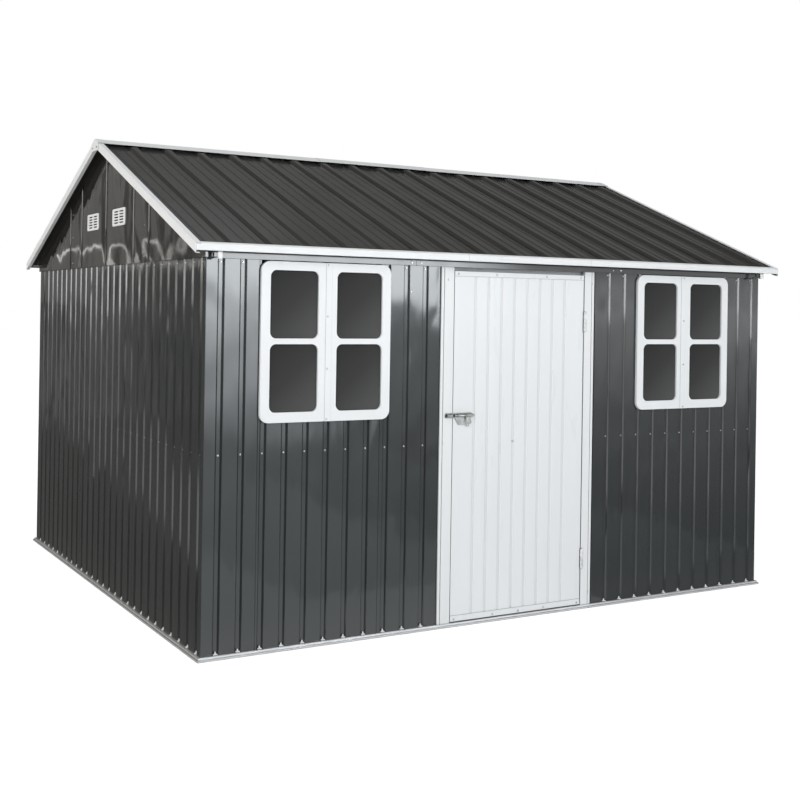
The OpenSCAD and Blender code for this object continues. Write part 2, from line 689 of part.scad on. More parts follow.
// An end plate closes the ridge, covers the joint of the two rake trims and has a saddle over the cap
plate_lift = 3.5 * rail_t;
module end_plate() {
    run_y(-rake_over - fit - rail_t, -rake_over - fit)
        polygon(concat(cap_line(end_plate_w / 2 / cosine, plate_lift + fit),
                       [for (s = [1, -1]) [ridge_y + s * end_plate_w / 2, cap_z(ridge_y) + plate_lift - end_plate_h]]));
}
module saddle() run_x(-rake_over - fit - rail_t, saddle_len - rake_over)
    polygon(folded(cap_line(cap_reach - 2, plate_lift), rail_t / 2));
module ridge_end_plates() color(white) {
    at_left() end_plate();
    at_right() end_plate();
    at_front() saddle();
    at_front_right() saddle();
}

// The fascia is a channel round the ends of the roof sheets, in three lengths
fascia_top = cap_z(-eave_over) + rail_t;
fascia_joints = [rail_t + fit - rake_over, fascia_joint_1, fascia_joint_2, wall_w + rake_over - rail_t - fit];
module fascia() for (i = [0 : 2]) {
    x0 = fascia_joints[i] + (i > 0 ? 0.5 : 0);
    x1 = fascia_joints[i + 1] - (i < 2 ? 0.5 : 0);
    run_x(x0, x1)
        polygon(folded([[-eave_over, fascia_top - rail_t - 0.5], [-eave_over, fascia_top - fascia_h],
                        [14 - eave_over, fascia_top - fascia_h]], rail_t));
    run_x(max(x0, rake_flange + fit - rake_over), min(x1, wall_w + rake_over - rake_flange - fit))
        polygon(folded([[18 - eave_over, cap_z(18 - eave_over) + rail_t], [-eave_over, fascia_top],
                        [-eave_over, fascia_top - fascia_h / 2]], rail_t));
}
module fascia_front() color(white) at_front() fascia();
module fascia_back() color(white) at_back() fascia();

// Rake trims cover the outer edges of the roof sheets
rake_path = [[rake_flange - rake_over, trim_z + rail_t], [-rake_over, trim_z + rail_t],
             [-rake_over, trim_z + rail_t - rake_h], [rake_lip - rake_over, trim_z + rail_t - rake_h]];
module rake_trim() difference() {
    on_slope() run_y(-(eave_over + 40) / cosine, (ridge_y + 40) / cosine) polygon(folded(rake_path, rail_t));
    at_front() {
        translate([-2 * rake_over, -eave_over - beyond, 0]) cube([4 * rake_over, beyond, beyond]);
        translate([rail_t - rake_over + fit / 3, -eave_over - 1, 0]) cube([2 * rake_over, 1 + rail_t + fit, beyond]);
        translate([-2 * rake_over, ridge_y - fit / 2, 0]) cube([4 * rake_over, beyond, beyond]);
    }
}
module rake_pair() {
    rake_trim();
    mirror([0, 1, 0]) rake_trim();
}
module rake_trim_left() color(white) rake_pair();
module rake_trim_right() color(white) mirror([1, 0, 0]) rake_pair();

// Brackets reach from the eave rail out to the lower lip of the fascia near each corner
bracket_top = fascia_top - fascia_h - fit;
bracket_path = [[-rail_out - fit, wall_h + 6], [-bracket_out, wall_h - bracket_drop], [-bracket_out, bracket_top],
                [2 - eave_over, bracket_top]];
module bracket() run_x(bracket_x, bracket_x + bracket_w) polygon(folded(bracket_path, rail_t));
module eave_brackets() color(white) {
    at_front() bracket();
    at_front_right() bracket();
    at_back() bracket();
    at_back() translate([wall_w, 0, 0]) mirror([1, 0, 0]) bracket();
}

// The door sheet folds back round the stiles, and its grooves run on under both channels
door_edge = door_depth - door_out;
door_in = 2 * rail_t;
door_path = concat([[leaf_x, door_edge], [leaf_x, -door_out]],
                   [for (i = [0 : door_grooves - 1])
                       each pressed(leaf_x + door_groove_first + i * door_groove_pitch, door_groove_mouth,
                                    door_groove_floor, -door_out, door_groove_depth - door_out, -door_out)],
                   [[leaf_x + door_w, -door_out], [leaf_x + door_w, door_edge]]);
module door_sheet() color(white) at_front() translate([0, 0, door_bottom + door_in])
    linear_extrude(door_top - door_bottom - 2 * door_in) polygon(folded(door_path, sheet_t));

// Stiles are channels inside the folded edges
stile_y = sheet_t + fit - door_out;
module door_stile(x) translate([x, 0, door_bottom + door_foot_h + fit])
    linear_extrude(door_top - door_bottom - door_foot_h - door_top_h - 2 * fit)
        polygon(folded([[0, door_edge], [0, stile_y], [door_stile_w, stile_y], [door_stile_w, door_edge]], rail_t));
module door_stiles() color(zinc) at_front() {
    door_stile(leaf_x + sheet_t + fit);
    door_stile(leaf_x + door_w - sheet_t - fit - door_stile_w);
}

// Channels cap the top and the bottom of the sheet, and a brace crosses the middle behind the grooves
door_face = door_out + rail_t + fit;
brace_y = stile_y + door_groove_depth;
module door_cap(height) run_x(leaf_x, leaf_x + door_w)
    polygon(folded([[door_edge + rail_t + fit, height], [door_edge + rail_t + fit, 0], [-door_face, 0],
                    [-door_face, height]], -rail_t));
module door_rails() color(white) at_front() {
    translate([0, 0, door_bottom]) door_cap(door_foot_h);
    translate([0, 0, door_top]) mirror([0, 0, 1]) door_cap(door_top_h);
    run_x(leaf_x + door_stile_w + 2, leaf_x + door_w - door_stile_w - 2)
        polygon(folded([[door_edge, girt_z - girt_h / 2], [brace_y, girt_z - girt_h / 2],
                        [brace_y, girt_z + girt_h / 2], [door_edge, girt_z + girt_h / 2]], -rail_t));
}

// Hinge knuckles alternate along the pin, three on the jamb and two on the leaf
knuckle_h = hinge_h / 5;
module knuckle(i) translate([0, 0, i * knuckle_h + 0.25]) cylinder(r = knuckle_r, h = knuckle_h - 0.5);
module pin_bore() translate([0, 0, -1]) cylinder(r = pin_r + pin_clear, h = hinge_h + 2);
module knuckle_gap(i) translate([-knuckle_r - 1, -knuckle_r - 1, i * knuckle_h - 0.25])
    cube([2 * knuckle_r + 2, 2 * knuckle_r + 2, knuckle_h + 0.5]);
module at_hinges() for (z = hinge_levels)
    at_front() translate([hinge_x, hinge_y, z - hinge_h / 2]) children();
// The plate on the jamb lies on its face
module jamb_plate() difference() {
    union() {
        for (i = [0, 2, 4]) knuckle(i);
        translate([0, knuckle_r + 0.1 - hinge_t, 0]) cube([hinge_plate_w, hinge_t, hinge_h]);
    }
    pin_bore();
    for (i = [1, 3]) knuckle_gap(i);
}
// The plate on the leaf lies on its edge, inside the gap
module door_plate() difference() {
    union() {
        for (i = [1, 3]) knuckle(i);
        translate([-door_gap / 2, 0.5, 0]) cube([rail_t, jamb_out + knuckle_r + door_edge - 1, hinge_h]);
    }
    pin_bore();
    for (i = [0, 2, 4]) knuckle_gap(i);
}
module hinge_jamb_plates() color(zinc) at_hinges() jamb_plate();
module hinge_door_plates() color(zinc) at_hinges() door_plate();
module hinge_pins() color(steel) at_hinges() {
    translate([0, 0, 0.25 - fit]) cylinder(r = pin_r, h = hinge_h - 0.5 + 2 * fit);
    for (z = [0.25 - fit - 2, hinge_h - 0.25 + fit]) translate([0, 0, z]) cylinder(r = knuckle_r - 0.5, h = 2);
}

// The barrel is slotted below for the neck of the handle and stands on a tapered plate with a padlock eye
module tube(x, length, r) translate([x, bolt_y, bolt_z]) rotate([0, 90, 0]) cylinder(r = r, h = length);
barrel_end = barrel_x + barrel_len - leaf_x;
module bolt_plate() translate([leaf_x, -door_out - fit, bolt_z]) rotate([90, 0, 0]) linear_extrude(hinge_t)
    difference() {
        union() {
            polygon([[2, 10], [barrel_end, 10], [barrel_end, -10], [68, -10], [60, -44], [28, -44], [8, -10],
                     [2, -10]]);
            translate([barrel_end - 14, -28]) square([10, 20]);
            translate([barrel_end - 9, -32]) circle(9);
        }
        translate([barrel_end - 9, -32]) circle(4);
    }
module bolt_barrel() color(steel) at_front() difference() {
    union() {
        tube(barrel_x, barrel_len, barrel_r);
        tube(leaf_x + 2, 8, barrel_r);
        translate([leaf_x + 2, bolt_y, bolt_z - 5]) cube([8, -door_out - fit - bolt_y, 10]);
        translate([barrel_x, bolt_y, bolt_z - 5]) cube([barrel_len, -door_out - fit - bolt_y, 10]);
        bolt_plate();
    }
    tube(leaf_x, 2 * barrel_len, bolt_r + bolt_clear);
    translate([leaf_x + 10, bolt_y - 2.5, bolt_z - barrel_r - 1])
        cube([barrel_end - 16, 5, barrel_r + 1]);
}
module handle() {
    translate([-handle_w / 2, 0, 0]) cube([handle_w, handle_t, handle_len - handle_w / 2]);
    translate([0, handle_t, 0]) rotate([90, 0, 0]) cylinder(r = handle_w / 2, h = handle_t);
}
module bolt() color(steel) at_front() difference() {
    union() {
        tube(bolt_tip, bolt_len, bolt_r);
        translate([handle_x, bolt_y - handle_t / 2, bolt_z - handle_len + handle_w / 2]) handle();
    }
    translate([handle_x, bolt_y - handle_t, bolt_z - handle_len + handle_w / 2])
        rotate([-90, 0, 0]) cylinder(r = 4, h = 2 * handle_t);
}
module bolt_keeper() color(steel) at_front() difference() {
    union() {
        tube(keeper_x, keeper_len, barrel_r);
        translate([keeper_x, bolt_y, bolt_z - 5]) cube([keeper_len, -jamb_out - fit - bolt_y, 10]);
        translate([keeper_x - 4, -jamb_out - fit - hinge_t, bolt_z - keeper_plate_h / 2])
            cube([keeper_len + 8, hinge_t, keeper_plate_h]);
    }
    tube(keeper_x - 1, keeper_len + 2, bolt_r + bolt_clear);
}

base_rail_front();
base_rail_back();
base_rail_left();
base_rail_right();
corner_posts();
eave_rail_front();
eave_rail_back();
side_rail_left();
side_rail_right();
wall_girts();
front_wall_left();
front_wall_right();
back_wall();
left_wall();
right_wall();
door_jamb_left();
door_jamb_right();
door_head();
window_left_frame_outer();
window_left_frame_inner();
window_left_panes();
window_right_frame_outer();
window_right_frame_inner();
window_right_panes();
gable_left();
gable_right();
gable_vents_left();
gable_vents_right();
rafters();
roof_beams();
roof_front();
roof_back();
ridge_cap();
ridge_end_plates();
fascia_front();
fascia_back();
rake_trim_left();
rake_trim_right();
eave_brackets();
door_sheet();
door_stiles();
door_rails();
hinge_jamb_plates();
hinge_door_plates();
hinge_pins();
bolt_barrel();
bolt();
bolt_keeper();
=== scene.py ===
"""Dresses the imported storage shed: paints, tinted panes, screws, clips and soft studio light."""
import json
import math

import bmesh
import bpy
from mathutils import Matrix, Vector


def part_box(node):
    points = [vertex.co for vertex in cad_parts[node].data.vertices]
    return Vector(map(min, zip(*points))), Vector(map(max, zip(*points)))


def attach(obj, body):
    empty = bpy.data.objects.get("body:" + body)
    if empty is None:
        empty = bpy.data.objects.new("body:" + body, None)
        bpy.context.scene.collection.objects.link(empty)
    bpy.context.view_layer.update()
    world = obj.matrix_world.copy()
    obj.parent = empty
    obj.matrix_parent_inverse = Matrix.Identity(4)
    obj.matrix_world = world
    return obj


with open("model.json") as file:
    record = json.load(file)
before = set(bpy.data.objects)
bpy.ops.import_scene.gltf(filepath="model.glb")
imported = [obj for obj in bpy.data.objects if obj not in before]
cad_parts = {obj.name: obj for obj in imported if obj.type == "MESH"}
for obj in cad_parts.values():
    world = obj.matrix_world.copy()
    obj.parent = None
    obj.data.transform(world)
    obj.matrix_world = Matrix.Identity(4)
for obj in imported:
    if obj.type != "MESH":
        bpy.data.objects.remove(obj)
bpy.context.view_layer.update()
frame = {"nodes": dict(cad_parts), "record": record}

# Measures of the shed in metres. A place along a wall counts from the wall's left or front corner
HALF_W, HALF_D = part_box("right_wall")[1][:2]
GROOVE_PITCH = 0.100
GROOVE_DEPTH = 0.009
CLIP_Z = 0.0203
GIRT_Z = 0.842
TOP_SCREW_Z = 1.645
SCREW_R = 0.0045
WINDOW_SCREW_R = 0.0042
GABLE_FOOT_Z = 1.665
GABLE_DRAWN_Z = 1.80
GABLE_RIB_PITCH = 0.445
PANE_FOOT_Z = 1.013
PANE_PITCH_X, PANE_PITCH_Z = 0.318, 0.314


class Shading:
    """The nodes of a material or of the world, with short ways to add them."""

    def __init__(self, owner):
        owner.use_nodes = True
        self.tree = owner.node_tree

    def node(self, kind, **settings):
        made = self.tree.nodes.new(kind)
        for key, value in settings.items():
            setattr(made, key, value)
        return made

    def join(self, source, target):
        self.tree.links.new(source, target)

    def feed(self, socket, value):
        """Sets a socket to a number or a colour, or joins another socket to it."""
        if isinstance(value, (int, float)):
            socket.default_value = value
        elif isinstance(value, tuple):
            socket.default_value = (*value, 1)
        else:
            self.join(value, socket)

    def math(self, operation, *values):
        made = self.node("ShaderNodeMath", operation=operation)
        for socket, value in zip(made.inputs, values):
            self.feed(socket, value)
        return made.outputs["Value"]

    def place(self):
        return self.node("ShaderNodeTexCoord").outputs["Object"]

    def axis(self, letter):
        parts = self.node("ShaderNodeSeparateXYZ")
        self.join(self.place(), parts.inputs["Vector"])
        return parts.outputs[letter]

    def spread(self, source, low, high, start=0.0, end=1.0, **settings):
        """Runs from start to end while the source runs from low to high."""
        made = self.node("ShaderNodeMapRange", **settings)
        for socket, value in (("From Min", low), ("From Max", high), ("To Min", start), ("To Max", end)):
            made.inputs[socket].default_value = value
        self.join(source, made.inputs["Value"])
        return made.outputs["Result"]

    def noise(self, scale, stretch=(1, 1, 1), detail=2.0, distortion=0.0):
        mapping = self.node("ShaderNodeMapping")
        mapping.inputs["Scale"].default_value = stretch
        self.join(self.place(), mapping.inputs["Vector"])
        texture = self.node("ShaderNodeTexNoise")
        for socket, value in (("Scale", scale), ("Detail", detail), ("Distortion", distortion)):
            texture.inputs[socket].default_value = value
        self.join(mapping.outputs["Vector"], texture.inputs["Vector"])
        return texture.outputs["Fac"]


class Finish(Shading):
    """A new material, with short ways to add what the paints share."""

    def __init__(self, name, colour, roughness, metallic=0.0, specular=0.5):
        self.material = bpy.data.materials.new(name)
        super().__init__(self.material)
        self.shader = self.tree.nodes["Principled BSDF"]
        self.feed(self.shader.inputs["Base Color"], colour)
        self.feed(self.shader.inputs["Roughness"], roughness)
        self.feed(self.shader.inputs["Metallic"], metallic)
        self.feed(self.shader.inputs["Specular IOR Level"], specular)
        self.normal = None

    def colour(self, source):
        self.join(source, self.shader.inputs["Base Color"])

    def roughness(self, source):
        self.join(source, self.shader.inputs["Roughness"])

    def ramp(self, source, *stops):
        """Follows the source through stops of (position, value)."""
        made = self.node("ShaderNodeValToRGB")
        elements = made.color_ramp.elements
        while len(elements) < len(stops):
            elements.new(0.5)
        for element, (position, value) in zip(elements, stops):
            element.position = position
            element.color = (value, value, value, 1)
        self.join(source, made.inputs["Fac"])
        return made.outputs["Color"]

    def height_ramp(self, low, high, *stops):
        """A ramp that follows the height above the ground, from low to high."""
        return self.ramp(self.spread(self.axis("Z"), low, high), *stops)

    def sawtooth(self, source, start, pitch):
        """Runs from 0 to 1 over each pitch, from the start."""
        return self.math("FRACT", self.math("MULTIPLY_ADD", source, 1 / pitch, -start / pitch))

    def mixed(self, factor, a, b, blend="MIX"):
        made = self.node("ShaderNodeMix", data_type="RGBA", blend_type=blend)
        for socket, value in (("Factor", factor), ("A", a), ("B", b)):
            self.feed(made.inputs[socket], value)
        return made.outputs["Result"]

    def shaded(self, colour, *shades):
        """The colour times each of the shades."""
        for shade in shades:
            colour = self.mixed(1.0, colour, shade, "MULTIPLY")
        return colour

    def round_bends(self, radius):
        """Shades sharp folds as bends of a radius."""
        made = self.node("ShaderNodeBevel", samples=6)
        made.inputs["Radius"].default_value = radius
        self.normal = made.outputs["Normal"]
        self.join(self.normal, self.shader.inputs["Normal"])

    def painted_crease_shade(self, reach, *stops):
        """Painted shade: a ramp by ambient occlusion that runs from deep in a fold to open sheet."""
        made = self.node("ShaderNodeAmbientOcclusion", samples=6)
        made.inputs["Distance"].default_value = reach
        return self.ramp(made.outputs["AO"], *stops)

    def bump(self, height, strength, distance):
        made = self.node("ShaderNodeBump")
        made.inputs["Strength"].default_value = strength
        made.inputs["Distance"].default_value = distance
        self.join(height, made.inputs["Height"])
        if self.normal:
            self.join(self.normal, made.inputs["Normal"])
        self.normal = made.outputs["Normal"]
        self.join(self.normal, self.shader.inputs["Normal"])


def gloss_sheet_paint(name, colour, roughness, specular, bend, pans, broad, fold_gloss=1.0):
    """Coil-coated sheet: even colour, waves of thin metal, fine grain, dust low down; with fold_gloss under
    1, painted shade dims the gloss in folds.

    The waves in each pan and the broad waves are pairs: how close they run along X, Y and Z, and how high."""
    f = Finish(name, colour, roughness, specular=specular)
    drift = f.ramp(f.noise(1.3, (1, 1, 0.4), 3), (0.3, 0.9), (0.7, 1.08))
    dust = f.height_ramp(0, 0.25, (0.0, 0.05), (0.6, 0.01), (1.0, 0.0))
    f.colour(f.mixed(dust, f.shaded(colour, drift), (0.30, 0.29, 0.27)))
    f.roughness(f.ramp(f.noise(6, (1, 1, 0.3), 4), (0.3, roughness * 0.8), (0.75, roughness * 1.25)))
    f.round_bends(bend)
    if fold_gloss < 1:
        # Painted shade on the reflections: the specular level falls deep in folds.
        gloss = f.painted_crease_shade(0.009, (0.45, fold_gloss), (0.8, 1.0))
        f.join(f.shaded((specular,) * 3, gloss), f.shader.inputs["Specular IOR Level"])
    for (closeness, height), distortion in ((pans, 0.4), (broad, 0.6)):
        f.bump(f.noise(1.0, closeness, 1.0, distortion), 1.0, height)
    f.bump(f.noise(900, detail=1), 0.08, 0.0002)
    return f


def gable_paint(name, colour, roughness, specular):
    """The gable's thin sheets. Each pan is hollow above its foot, so reflections bend there."""
    f = gloss_sheet_paint(name, colour, roughness, specular, 0.003, ((4, 6, 3), 0.005), ((1.5, 2, 2), 0.012))
    across = f.sawtooth(f.axis("Y"), 0.0, GABLE_RIB_PITCH)
    hollow = f.ramp(across, (0.0, 0.0), (0.2, 0.64), (0.5, 1.0), (0.8, 0.64), (1.0, 0.0))
    rise = f.spread(f.axis("Z"), GABLE_FOOT_Z, GABLE_DRAWN_Z, interpolation_type="SMOOTHSTEP")
    f.bump(f.math("MULTIPLY", hollow, rise), 1.0, 0.0032)
    return f


def roof_paint(name, colour, roughness, specular):
    """The roof's sheets, with painted shade deep in the laps and at the feet of the ribs: duller gloss and
    darker colour there.
    """
    f = gloss_sheet_paint(name, colour, roughness, specular, 0.0014,
                          ((8, 2, 2), 0.0004), ((2, 2, 2), 0.0016), 0.2)
    even = f.shader.inputs["Base Color"].links[0].from_socket
    # Painted shade: the colour darkens deep in the laps and at the feet of the ribs.
    f.colour(f.shaded(even, f.painted_crease_shade(0.014, (0.4, 0.12), (0.9, 1.0))))
    return f


def white_paint(name, colour, roughness, grime=0.04, wave=0.0008, fold_shade=0.3, fold_reach=0.009):
    """White painted steel: nearly even, with faint long streaks, painted shade deep in its folds and the slow
    waves of thin sheet.
    """
    f = Finish(name, colour, roughness, specular=0.3)
    streak = f.ramp(f.noise(3, (4, 4, 0.3), 4), (0.3, 1.0 - grime), (0.7, 1.0))
    # Painted shade: the colour darkens deep in folds, down to fold_shade.
    folds = f.painted_crease_shade(fold_reach, (0.45, fold_shade), (0.93, 1.0))
    f.colour(f.shaded(colour, streak, folds))
    f.roughness(f.ramp(f.noise(5, (3, 3, 0.6), 2), (0.3, roughness * 0.88), (0.7, roughness * 1.12)))
    f.round_bends(0.0012)
    f.bump(f.noise(1.0, (7, 7, 1.4), 1, 0.3), 1.0, wave)
    f.bump(f.noise(900, detail=1), 0.06, 0.0002)
    return f


def bright_zinc(name, colour, roughness):
    """Bright galvanised rail on the ground, with a band of painted shade at its step halfway up, darker at
    its top and towards its foot.
    """
    f = Finish(name, colour, roughness, metallic=0.5)
    streak = f.ramp(f.noise(4, (3, 3, 1), 5), (0.3, 0.88), (0.7, 1.0))
    # Painted shade in a band at the rail's step halfway up; the colour is also darker at the top and towards
    # the foot.
    folds = f.height_ramp(0, 0.018, (0.0, 0.6), (0.1, 1.0), (0.42, 1.0), (0.47, 0.45), (0.53, 0.45),
                          (0.58, 1.0), (0.9, 1.0), (0.96, 0.7))
    f.colour(f.shaded(colour, streak, folds))
    f.roughness(f.ramp(f.noise(30, detail=3), (0.3, roughness * 0.8), (0.7, roughness * 1.2)))
    f.round_bends(0.0012)
    f.bump(f.noise(2.0, (4, 4, 1), 1), 0.6, 0.0006)
    return f


def moulded_white(name, colour):
    """Moulded plastic: soft gloss with a very fine texture, and painted shade in its creases."""
    f = Finish(name, colour, 0.38, specular=0.3)
    shade = f.ramp(f.noise(4, detail=3), (0.3, 0.965), (0.7, 1.0))
    # Painted shade: the colour darkens in creases.
    f.colour(f.shaded(colour, shade, f.painted_crease_shade(0.006, (0.4, 0.35), (0.9, 1.0))))
    f.bump(f.noise(1100, detail=2), 0.12, 0.0003)
    return f


def tinted_pane(name, colour, first_x):
    """Dark tinted sheet with a painted reflection: paler at the lower right of each light. The first light
    starts at first_x.
    """
    f = Finish(name, colour, 0.5, specular=0.06)
    # Painted reflection: a slanting ramp that brightens each light towards its lower right.
    across = f.sawtooth(f.axis("X"), first_x, PANE_PITCH_X)
    downwards = f.math("MULTIPLY_ADD", f.sawtooth(f.axis("Z"), PANE_FOOT_Z, PANE_PITCH_Z), -0.6, 0.6)
    painted_reflection = f.math("MULTIPLY_ADD", across, 0.55, downwards)
    f.colour(f.shaded(colour, f.ramp(painted_reflection, (0.0, 0.55), (0.5, 1.0), (1.0, 2.1))))
    f.bump(f.noise(3, detail=1), 0.5, 0.001)
    return f


def zinc(name, colour, roughness):
    """Zinc coated steel with its faint flowers."""
    f = Finish(name, colour, roughness, metallic=1.0)
    flowers = f.node("ShaderNodeTexVoronoi")
    flowers.inputs["Scale"].default_value = 90
    f.join(f.place(), flowers.inputs["Vector"])
    f.colour(f.shaded(colour, f.ramp(flowers.outputs["Color"], (0.0, 0.8), (1.0, 1.05))))
    f.roughness(f.ramp(flowers.outputs["Color"], (0.0, roughness * 0.85), (1.0, roughness * 1.2)))
    return f


def plated(name, colour, roughness, metallic):
    """Plated steel of small fittings, brushed along its length, duller in patches, with painted shade in its
    creases.
    """
    f = Finish(name, colour, roughness, metallic=metallic)
    grain = f.noise(60, (1, 8, 8), 4)
    patches = f.ramp(f.noise(40, detail=4), (0.35, 0.7), (0.65, 1.0))
    # Painted shade: the colour darkens in creases and along the edges of the fittings.
    f.colour(f.shaded(colour, patches, f.painted_crease_shade(0.006, (0.3, 0.12), (0.92, 1.0))))
    f.roughness(f.ramp(grain, (0.3, roughness * 0.8), (0.7, roughness * 1.3)))
    f.bump(grain, 0.15, 0.0004)
    return f


PANE_GREY = (0.044, 0.044, 0.044)
SCREW = plated("screw plating", (0.75, 0.76, 0.77), 0.3, 0.7)
CLIP = moulded_white("clip plastic", (0.86, 0.87, 0.87))
RIGHT_PANE = tinted_pane("tinted pane right", PANE_GREY, HALF_W - 0.833)
FINISHES = {
    "rail_white": bright_zinc("base rail zinc", (0.86, 0.87, 0.88), 0.34),
    "zinc_frame": zinc("zinc frame", (0.62, 0.64, 0.66), 0.4),
    "eave_grey": gloss_sheet_paint("eave rail paint", (0.03, 0.032, 0.033), 0.16, 0.8, 0.001,
                                   pans=((4, 4, 4), 0.0003), broad=((1, 1, 1), 0.002)),
    "wall_grey": gloss_sheet_paint("wall paint", (0.0245, 0.0285, 0.029), 0.09, 0.8, 0.003,
                                   pans=((10, 10, 3), 0.0034), broad=((2.2, 2.2, 2.2), 0.006),
                                   fold_gloss=0.4),
    "trim_white": white_paint("trim paint", (0.83, 0.85, 0.86), 0.36),
    "head_grey": white_paint("door head paint", (0.46, 0.475, 0.48), 0.4),
    "window_white": moulded_white("window frame plastic", (0.84, 0.865, 0.88)),
    "pane_grey": tinted_pane("tinted pane left", PANE_GREY, 0.287 - HALF_W),
    "gable_dark": gable_paint("gable paint", (0.029, 0.0275, 0.026), 0.06, 0.8),
    "vent_white": moulded_white("vent plastic", (0.84, 0.86, 0.87)),
    "roof_grey": roof_paint("roof paint", (0.036, 0.0355, 0.0345), 0.2, 0.5),
    "door_white": white_paint("door paint", (0.82, 0.845, 0.86), 0.3, grime=0.02, wave=0.0025,
                              fold_shade=0.0, fold_reach=0.0055),
    "hinge_steel": plated("hinge plating", (0.86, 0.87, 0.88), 0.45, 0.3),
    "bolt_steel": plated("bolt plating", (0.42, 0.42, 0.41), 0.33, 0.85),
}
for part in frame["record"]["subparts"]:
    right_panes = part["node"] == "window_right_panes"
    finish = RIGHT_PANE if right_panes else FINISHES[part["material_slot"]]
    for material_slot in frame["nodes"][part["node"]].material_slots:
        material_slot.material = finish.material


FRONT, BACK, LEFT, RIGHT = Vector((0, -1, 0)), Vector((0, 1, 0)), Vector((-1, 0, 0)), Vector((1, 0, 0))


def along_front(x, z, out=0.0):
    return Vector((x - HALF_W, -HALF_D - out, z))


def along_back(x, z, out=0.0):
    return Vector((x - HALF_W, HALF_D + out, z))


def along_left(y, z, out=0.0):
    return Vector((-HALF_W - out, y - HALF_D, z))


def along_right(y, z, out=0.0):
    return Vector((HALF_W + out, y - HALF_D, z))


def from_right(x):
    return 2 * HALF_W - x


def facing(place, normal):
    return Matrix.Translation(place) @ normal.to_track_quat("Z", "Y").to_matrix().to_4x4()


def meshed(name, bm, material):
    """A new object of the mesh, in the scene."""
    mesh = bpy.data.meshes.new(name)
    bm.to_mesh(mesh)
    bm.free()
    mesh.materials.append(material)
    thing = bpy.data.objects.new(name, mesh)
    bpy.context.scene.collection.objects.link(thing)
    return thing


def fitted(name, bm, finish, body="shed"):
    """Makes a new piece that rides on a body."""
    piece = meshed(name, bm, finish.material)
    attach(piece, body)


def add_screw(bm, place, normal, radius):
    """A self-drilling screw: washer flange with a six-sided head on it."""
    at = facing(place, normal)
    flange = 0.3 * radius
    head = 0.7 * radius
    bmesh.ops.create_cone(bm, cap_ends=True, segments=12, radius1=radius, radius2=0.82 * radius, depth=flange,
                          matrix=at @ Matrix.Translation((0, 0, flange / 2)))
    bmesh.ops.create_cone(bm, cap_ends=True, segments=6, radius1=0.62 * radius, radius2=0.5 * radius,
                          depth=head, matrix=at @ Matrix.Translation((0, 0, flange + head / 2)))


def screws(name, places, radius=SCREW_R, body="shed"):
    bm = bmesh.new()
    for place, normal in places:
        add_screw(bm, place, normal, radius)
    fitted(name, bm, SCREW, body)


def add_clip(bm, place, normal):
    """A clip that holds the foot of a groove: a white foot on the rail's ledge with a round stud on it."""
    width, height, depth = 0.019, 0.005, 0.012
    at = facing(place, normal) @ Matrix.Translation((0, 0, depth / 2))
    foot = bmesh.ops.create_cube(bm, size=1, matrix=at @ Matrix.Diagonal((width, height, depth, 1)))
    edges = {edge for vert in foot["verts"] for edge in vert.link_edges}
    bmesh.ops.bevel(bm, geom=list(edges), offset=0.001, affect="EDGES", segments=2, profile=0.5, material=-1)
    upright = Matrix.Rotation(-math.pi / 2, 4, "X")
    for radius, low, high in ((0.0045, 0.0025, 0.008), (0.003, 0.008, 0.012)):
        bmesh.ops.create_cone(bm, cap_ends=True, segments=14, radius1=radius, radius2=0.8 * radius,
                              depth=high - low,
                              matrix=at @ Matrix.Translation((0, (low + high) / 2, 0)) @ upright)


def clips(name, places):
    bm = bmesh.new()
    for place, normal in places:
        add_clip(bm, place, normal)
    fitted(name, bm, CLIP)


def grooves(first, count):
    return [first + i * GROOVE_PITCH for i in range(count)]


FRONT_GROOVES = grooves(0.068, 11) + [from_right(x) for x in grooves(0.059, 11)]
BACK_GROOVES = grooves(0.068, 31)
SIDE_GROOVES = grooves(0.048, 27)


def groove_rows(z):
    """For each wall its name and, at one height, the bottoms of its grooves."""
    for wall, along, normal, places in (("front", along_front, FRONT, FRONT_GROOVES),
                                        ("back", along_back, BACK, BACK_GROOVES),
                                        ("left", along_left, LEFT, SIDE_GROOVES),
                                        ("right", along_right, RIGHT, SIDE_GROOVES)):
        yield wall, [(along(place, z, -GROOVE_DEPTH), normal) for place in places]


for wall, row in groove_rows(CLIP_Z):
    clips("groove_clips_" + wall, row)
for wall, row in groove_rows(GIRT_Z):
    screws("girt_screws_" + wall, row)
for wall, row in groove_rows(TOP_SCREW_Z):
    screws("top_screws_" + wall, row)


def first_met(node, start, towards):
    """The place where a straight line first meets a node."""
    piece = frame["nodes"][node]
    turned = piece.matrix_world.inverted()
    found, place = piece.ray_cast(turned @ start, turned.to_3x3() @ towards)[:2]
    if not found:
        raise ValueError("no surface of %s from %s" % (node, tuple(start)))
    return piece.matrix_world @ place


def on_front(node, x, z):
    return first_met(node, along_front(x, z, 0.3), BACK), FRONT


def on_left(node, y, z):
    return first_met(node, along_left(y, z, 0.3), RIGHT), LEFT


def mirrored(places):
    """The same places on the right side."""
    return [(Vector((-place.x, place.y, place.z)), RIGHT) for place, _ in places]


